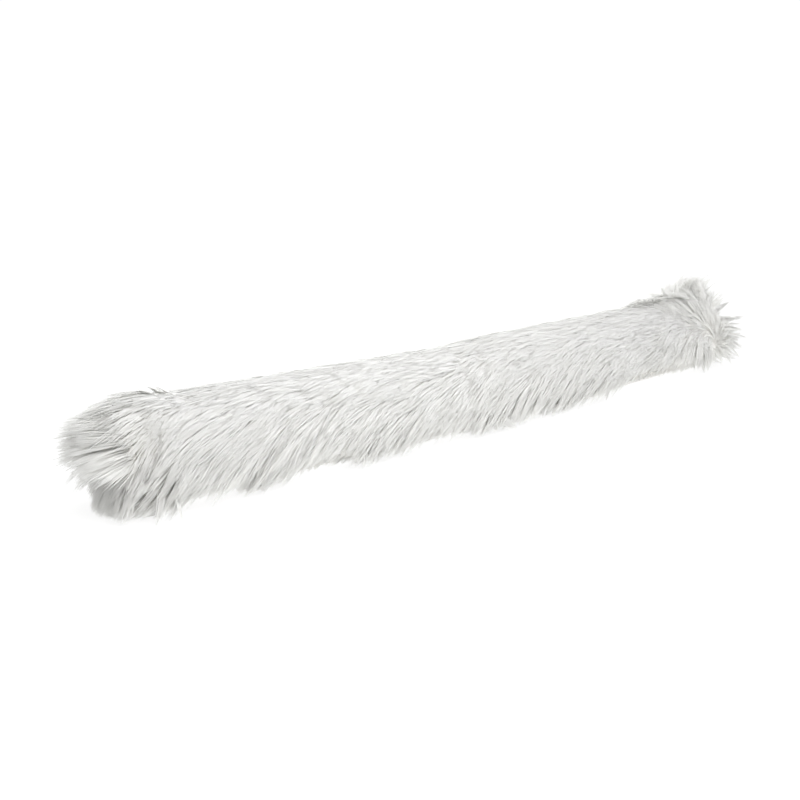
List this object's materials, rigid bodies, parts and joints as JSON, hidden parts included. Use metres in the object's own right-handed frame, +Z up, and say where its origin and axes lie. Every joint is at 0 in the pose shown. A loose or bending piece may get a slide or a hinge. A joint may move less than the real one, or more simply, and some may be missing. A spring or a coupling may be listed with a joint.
{
  "type": "draught excluder",
  "caption": "Filled tube of white long-pile fur fabric with fur end rounds, laid along the foot of a door or window to keep out draughts.",
  "frame": {"origin": "middle of the base of the whole object's box, on the floor it lies on", "axes": "+X along the tube from its near end, where the pile runs on past the end, to its far end with the crown of pile; +Y from its front foot to its back; +Z up"},
  "size_m": [0.9806, 0.1476, 0.1293],
  "materials": {
    "long_pile_fur": "soft warm-white acrylic long-pile fur, matt with a faint silky sheen"
  },
  "bodies": {
    "root": {"fur_tube": "long_pile_fur", "near_end_round": "long_pile_fur", "far_end_round": "long_pile_fur"}
  },
  "joints": []
}
